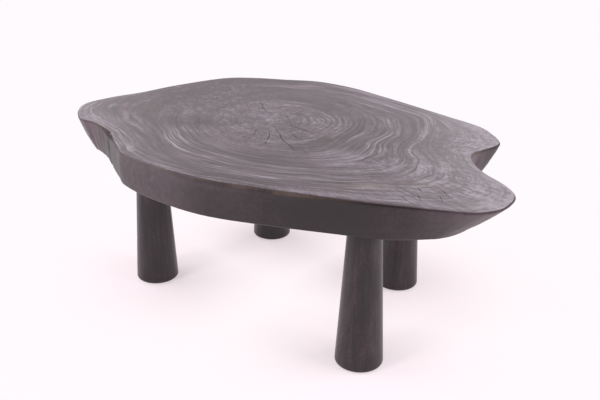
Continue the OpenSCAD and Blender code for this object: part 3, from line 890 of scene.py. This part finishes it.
turnedLeg = {  # mm, heights above the leg's foot
    "headWidth": 73, "footArris": 7, "headArris": 1.5, "step": 2.4, "sides": 150,
    "boltBore": 12.2, "boltDepth": 63, "glideBore": 50.2, "glideDepth": 4, "pilot": 4.2, "pilotDepth": 27,
}
legFinish = {"Wobble": 0.5, "Grain width": 26, "Nick depth": 0.9, "Nick spacing": 34, "Seed": 5.0}
hangerBolt = {
    "width": 12, "up": 28, "down": 60, "point": 9, "shank": 5, "chamfer": 1.5, "sides": 44,
    "threads": [(6, -51.5, -5, 5.0, 1.5), (6, 1, 28, 1.75, 1.0)],  # radius, from, to, pitch and bite
}
threadedInsert = {
    "width": 20, "length": 32, "flangeWidth": 28, "flange": 2.5, "bore": 12.2, "chamfer": 1.5, "sides": 60,
    "threadFrom": 8, "hexAcross": 14, "hexDepth": 6,
    "threads": [(10, 8, 31, 4.5, 1.5), (6.1, 7, 32, 1.75, -0.8)],
}
footGlide = {
    "width": 50, "thickness": 6, "arris": 1.5, "hole": 4.2, "sinkWidth": 8.2, "sink": 1, "step": 1.5, "sides": 120,
}
glideScrew = {
    "width": 4, "length": 25, "headWidth": 8, "point": 5, "sink": 1, "threads": [(2, 4, 21, 1.8, 0.6)], "sides": 36,
    "crossWidth": 1.1, "crossSpan": 4.6, "crossDepth": 1.9,
}


def turningTree():  # spins a profile of points (radius, 0, height); bite and pitch raise a thread on it
    tree, add, given = newTree("turnedPiece", {"Sides": "Int", **{label: "Float" for label in legFinish}})
    profile = given["Geometry"]
    count = add("GeometryNodeAttributeDomainSize", (profile,), output="Point Count")
    around = add("Math.ADD", (given["Sides"], 1.0))
    sheet = add("GeometryNodeMeshGrid", {"Vertices X": around, "Vertices Y": count})
    spot = add("GeometryNodeInputPosition")
    share = add("VectorMath.ADD", (spot, (0.5, 0.5, 0)))
    parts = add("SeparateXYZ", (share,)).node
    last = add("Math.ADD", (count, -1.0))
    row = add("Math.MULTIPLY", (parts.outputs["Y"], last))
    row = add("Math.ROUND", (row,))
    found = add("GeometryNodeSampleIndex", (profile, spot, row), data_type="FLOAT_VECTOR", domain="POINT")
    radius, height = (add("SeparateXYZ", (found,), output=axis) for axis in "XZ")
    thread = {}
    for label in ("bite", "pitch"):
        value = add("GeometryNodeInputNamedAttribute", (label,), data_type="FLOAT")
        thread[label] = add("GeometryNodeSampleIndex", (profile, value, row), data_type="FLOAT", domain="POINT")
    turns = add("Math.DIVIDE", (height, thread["pitch"]))
    turns = add("Math.SUBTRACT", (turns, parts.outputs["X"]))
    wave = add("Math.PINGPONG", (turns, 0.5))
    groove = add("MapRange", (wave, 0.44, 0.06))
    cut = add("Math.MULTIPLY", (groove, thread["bite"]))
    radius = add("Math.SUBTRACT", (radius, cut))
    angle = add("Math.MULTIPLY", (parts.outputs["X"], 2 * math.pi))
    cosine = add("Math.COSINE", (angle,))
    sine = add("Math.SINE", (angle,))
    x, y = (add("Math.MULTIPLY", (radius, way)) for way in (cosine, sine))
    spun = add("CombineXYZ", (x, y, height))
    shape = add("GeometryNodeSetPosition", {"Geometry": sheet, "Position": spun})
    shape = add("GeometryNodeMergeByDistance", {"Geometry": shape, "Distance": 0.002 * mm})
    slender = add("VectorMath.MULTIPLY", (spot, (1, 1, 0.16)))
    fine = add("Math.DIVIDE", (1.0, given["Grain width"]))
    wobble = add("TexNoise", (slender, given["Seed"], fine, 2.0), noise_dimensions="4D")
    wobble = add("Math.MULTIPLY", (wobble, given["Wobble"]))
    rare = add("Math.DIVIDE", (1.0, given["Nick spacing"]))
    cells = add("TexVoronoi", (spot, given["Seed"], rare), voronoi_dimensions="4D").node
    dent = add("MapRange", (cells.outputs["Distance"], 0.2, 0.08, 0, given["Nick depth"]))
    depth = add("Math.ADD", (wobble, dent))
    flat = add("VectorMath.MULTIPLY", (spot, (-1, -1, 0)))
    inward = add("VectorMath.NORMALIZE", (flat,))
    offset = add("VectorMath.SCALE", (inward, depth))
    worked = add("FunctionNodeCompare.GREATER_THAN", (given["Wobble"], 0.0))
    shape = add("GeometryNodeSetPosition", {"Geometry": shape, "Selection": worked, "Offset": offset})
    endTree(add, shape, given["Material"])
    return tree


def arc(radius, height, size, first, last, steps=6):  # points of a rounded arris in a profile
    turns = [math.radians(first + (last - first) * k / steps) for k in range(steps + 1)]
    return [(radius + size * math.cos(t), height + size * math.sin(t)) for t in turns]


def turnPiece(name, profile, look, spot, material, finish=None):  # a profile made dense, spun and put in its place
    near, stepsPerTurn = 0.01, 8  # mm, and points along a thread's pitch
    threads = look.get("threads", ())
    dense = [profile[0]]
    for (r0, z0), (r1, z1) in zip(profile, profile[1:]):
        gap = look.get("step", math.inf)
        for radius, low, high, pitch, bite in threads:
            if max(abs(r0 - r1), abs(r0 - radius)) < near and min(z0, z1) < high and max(z0, z1) > low:
                gap = pitch / stepsPerTurn
        parts = max(1, round(math.hypot(r1 - r0, z1 - z0) / gap))
        dense += [(r0 + (r1 - r0) * k / parts, z0 + (z1 - z0) * k / parts) for k in range(1, parts + 1)]
    bites, pitches = np.zeros(len(dense)), np.full(len(dense), mm)
    for k, (r, z) in enumerate(dense):
        for radius, low, high, pitch, bite in threads:
            run = min(z - low, high - z) / pitch
            if run > 0 and abs(r - radius) < near:
                bites[k], pitches[k] = bite * min(1, run) * mm, pitch * mm
    mesh = bpy.data.meshes.new(name)
    mesh.from_pydata([(r * mm, 0, z * mm) for r, z in dense], [], [])
    storeValues(mesh, "bite", bites)
    storeValues(mesh, "pitch", pitches)
    piece = newPiece(name, mesh)
    values = {k: v if k == "Seed" else v * mm for k, v in (finish or {}).items()}
    runTree(piece, turning, {"Wobble": 0.0, **values, "Sides": look["sides"], "Material": material})
    closeMesh(piece.data)
    piece.data.transform(Matrix.Translation(Vector(spot)))
    softenMesh(piece.data)
    return piece


def legProfile(leg, footWidth, length):
    lean = math.atan((footWidth - leg["headWidth"]) / 2 / length)
    foot, head = leg["footArris"], leg["headArris"]
    footR = footWidth / 2 - foot * math.tan(lean) - foot / math.cos(lean)
    headR = footWidth / 2 - (length - head) * math.tan(lean) - head / math.cos(lean)
    return [
        (0, leg["pilotDepth"]), (leg["pilot"] / 2, leg["pilotDepth"]), (leg["pilot"] / 2, leg["glideDepth"]),
        (leg["glideBore"] / 2, leg["glideDepth"]), (leg["glideBore"] / 2, 0),
        *arc(footR, foot, foot, -90, 0, 8), *arc(headR, length - head, head, 0, 90, 4),
        (leg["boltBore"] / 2, length), (leg["boltBore"] / 2, length - leg["boltDepth"]),
        (0, length - leg["boltDepth"]),
    ]


def boltProfile(bolt):
    r = bolt["width"] / 2
    return [(0, -bolt["down"]), (r, bolt["point"] - bolt["down"]), (r, -bolt["shank"]), (r, 1),
            (r, bolt["up"] - bolt["chamfer"]), (r - bolt["chamfer"], bolt["up"]), (0, bolt["up"])]


def insertProfile(insert):
    bore, body, flange = insert["bore"] / 2, insert["width"] / 2, insert["flangeWidth"] / 2
    return [(bore, 0), (flange, 0), (flange, insert["flange"]), (body, insert["flange"]),
            (body, insert["threadFrom"]), (body, insert["length"] - insert["chamfer"]),
            (body - insert["chamfer"], insert["length"]), (bore, insert["length"]),
            (bore, insert["hexDepth"] + 1), (bore, 0)]


def socketProfile(insert):
    radius, depth = insert["hexAcross"] / 2 / math.cos(math.pi / 6), insert["hexDepth"]
    return [(0, -1), (radius, -1), (radius, depth), (0, depth)]


def glideProfile(glide):
    hole, sink, rim, arris = glide["hole"] / 2, glide["sinkWidth"] / 2, glide["width"] / 2, glide["arris"]
    return [(sink, 0), *arc(rim - arris, arris, arris, -90, 0), (rim, glide["thickness"]),
            (hole, glide["thickness"]), (hole, glide["sink"] + sink - hole), (sink, glide["sink"]), (sink, 0)]


def screwProfile(screw):
    head, shank = screw["headWidth"] / 2, screw["width"] / 2
    return [(0, 0), (head, 0), (shank, head - shank), (shank, screw["length"] - screw["point"]), (0, screw["length"])]


def boxPunch(name, low, high, turn, spot):  # a block in mm, turned about the vertical through spot
    work = bmesh.new()
    bmesh.ops.create_cube(work, size=1)
    for vertex in work.verts:
        vertex.co = Vector([(lo + (hi - lo) * (c + 0.5)) * mm for lo, hi, c in zip(low, high, vertex.co)])
    mesh = bpy.data.meshes.new(name)
    work.to_mesh(mesh)
    work.free()
    mesh.transform(Matrix.Translation(Vector(spot)) @ Matrix.Rotation(math.radians(turn), 4, "Z"))
    return newPiece(name, mesh)


turning = turningTree()
legLook = {
    "tones": [(0.0, "#110b0c"), (0.35, "#1b1314"), (0.6, "#261c1e"), (0.85, "#382b2e"), (1.0, "#43353a")],
    "streak": 9,  # mm across
    "blotch": 60,
    "chatter": 3.0,  # mm, the small marks of the tool
    "rough": (0.28, 0.4),
    "relief": 0.5,
}


def legMaterial(look):  # turned hardwood stained black: long fine streaks up the leg, a low sheen
    material, add = newMaterial("turnedBlackWood")
    place = add("TexCoord", output="Object")
    long = add("VectorMath.MULTIPLY", (place, (1, 1, 0.05)))
    streak = add("TexNoise", (long, 1000 / look["streak"], 4.0, 0.65))
    tall = add("VectorMath.MULTIPLY", (place, (1, 1, 0.4)))
    blotch = add("TexNoise", (tall, 1000 / look["blotch"], 5.0, 0.65))
    chatter = add("TexNoise", (place, 1000 / look["chatter"], 2.0, 0.6))
    tone = add("Math.MULTIPLY_ADD", (streak, 0.6, blotch))
    tone = add("Math.MULTIPLY_ADD", (chatter, 0.5, tone))
    tone = add("MapRange", (tone, 0.78, 1.32))
    colour = fillRamp(add("ValToRGB", (tone,)), look["tones"])
    rough = add("MapRange", (blotch, 0.3, 0.7, *look["rough"]))
    worked = add("Math.MULTIPLY_ADD", (streak, 0.5, chatter))
    bump = add("Bump", {"Height": worked, "Strength": 0.5, "Distance": look["relief"] * mm})
    wood = add("BsdfPrincipled", {"Base Color": colour, "Roughness": rough, "Normal": bump, "IOR": 1.5})
    add("OutputMaterial", (wood,))
    return material


def metalMaterial(name, tones, rough, scratch):  # plated steel: faint cloudy tint and rolling marks
    material, add = newMaterial(name)
    place = add("TexCoord", output="Object")
    cloud = add("TexNoise", (place, 1000 / 6, 3.0))
    colour = fillRamp(add("ValToRGB", (cloud,)), tones)
    across = add("VectorMath.MULTIPLY", (place, (0.1, 0.1, 1)))
    lines = add("TexNoise", (across, 1000 / scratch, 2.0))
    sheen = add("MapRange", (lines, 0, 1, *rough))
    bump = add("Bump", {"Height": lines, "Strength": 0.3, "Distance": 0.05 * mm})
    steel = add("BsdfPrincipled", {"Base Color": colour, "Roughness": sheen, "Normal": bump, "Metallic": 1.0})
    add("OutputMaterial", (steel,))
    return material


def nylonMaterial():  # moulded black nylon: satin, with the fine grain of its mould
    material, add = newMaterial("mouldedBlackNylon")
    place = add("TexCoord", output="Object")
    grain = add("TexNoise", (place, 1000 / 0.8, 2.0))
    cloud = add("TexNoise", (place, 1000 / 14, 3.0))
    colour = fillRamp(add("ValToRGB", (cloud,)), [(0.3, "#1b1b1d"), (0.7, "#29292c")])
    rough = add("MapRange", (cloud, 0, 1, 0.35, 0.6))
    bump = add("Bump", {"Height": grain, "Strength": 0.25, "Distance": 0.05 * mm})
    plastic = add("BsdfPrincipled", {"Base Color": colour, "Roughness": rough, "Normal": bump, "IOR": 1.53})
    add("OutputMaterial", (plastic,))
    return material


legWood = legMaterial(legLook)
brightZinc = metalMaterial("rolledBrightZinc", [(0.3, "#a9adb1"), (0.7, "#c6c9cc")], (0.22, 0.42), 0.6)
yellowZinc = metalMaterial("yellowPassivatedZinc", [(0.3, "#b89a55"), (0.5, "#c7b070"), (0.7, "#b7a7a0")],
                           (0.25, 0.45), 0.8)
nylon = nylonMaterial()

for k, corner in enumerate(corners):
    title = "".join(part.capitalize() for part in corner.split("_"))
    low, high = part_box("leg_" + corner)
    x, y, _ = legAxis(corner)
    foot, head, sunk = (x, y, low.z), (x, y, high.z), (x, y, glideScrew["sink"] * mm)
    profile = legProfile(turnedLeg, (high.x - low.x) / mm, (high.z - low.z) / mm)
    finish = {**legFinish, "Seed": legFinish["Seed"] + k}
    piece = turnPiece("leg" + title, profile, turnedLeg, foot, legWood, finish)
    standIn(piece, "leg_" + corner)
    piece = turnPiece("hangerBolt" + title, boltProfile(hangerBolt), hangerBolt, head, brightZinc)
    standIn(piece, "hanger_bolt_" + corner)
    piece = turnPiece("threadedInsert" + title, insertProfile(threadedInsert), threadedInsert, head, yellowZinc)
    cutAway(piece, [spunSolid("socket", socketProfile(threadedInsert), 6, head)])
    softenMesh(piece.data)
    standIn(piece, "threaded_insert_" + corner)
    piece = turnPiece("footGlide" + title, glideProfile(footGlide), footGlide, (x, y, 0), nylon)
    standIn(piece, "foot_glide_" + corner)
    piece = turnPiece("glideScrew" + title, screwProfile(glideScrew), glideScrew, sunk, brightZinc)
    span, half = glideScrew["crossSpan"] / 2, glideScrew["crossWidth"] / 2
    low, high = (-span, -half, -1), (span, half, glideScrew["crossDepth"])
    cutAway(piece, [boxPunch("cross", low, high, turn + 17 * k, sunk) for turn in (0, 90)])
    softenMesh(piece.data)
    standIn(piece, "glide_screw_" + corner)
print("legs, bolts, inserts, glides and screws turned")
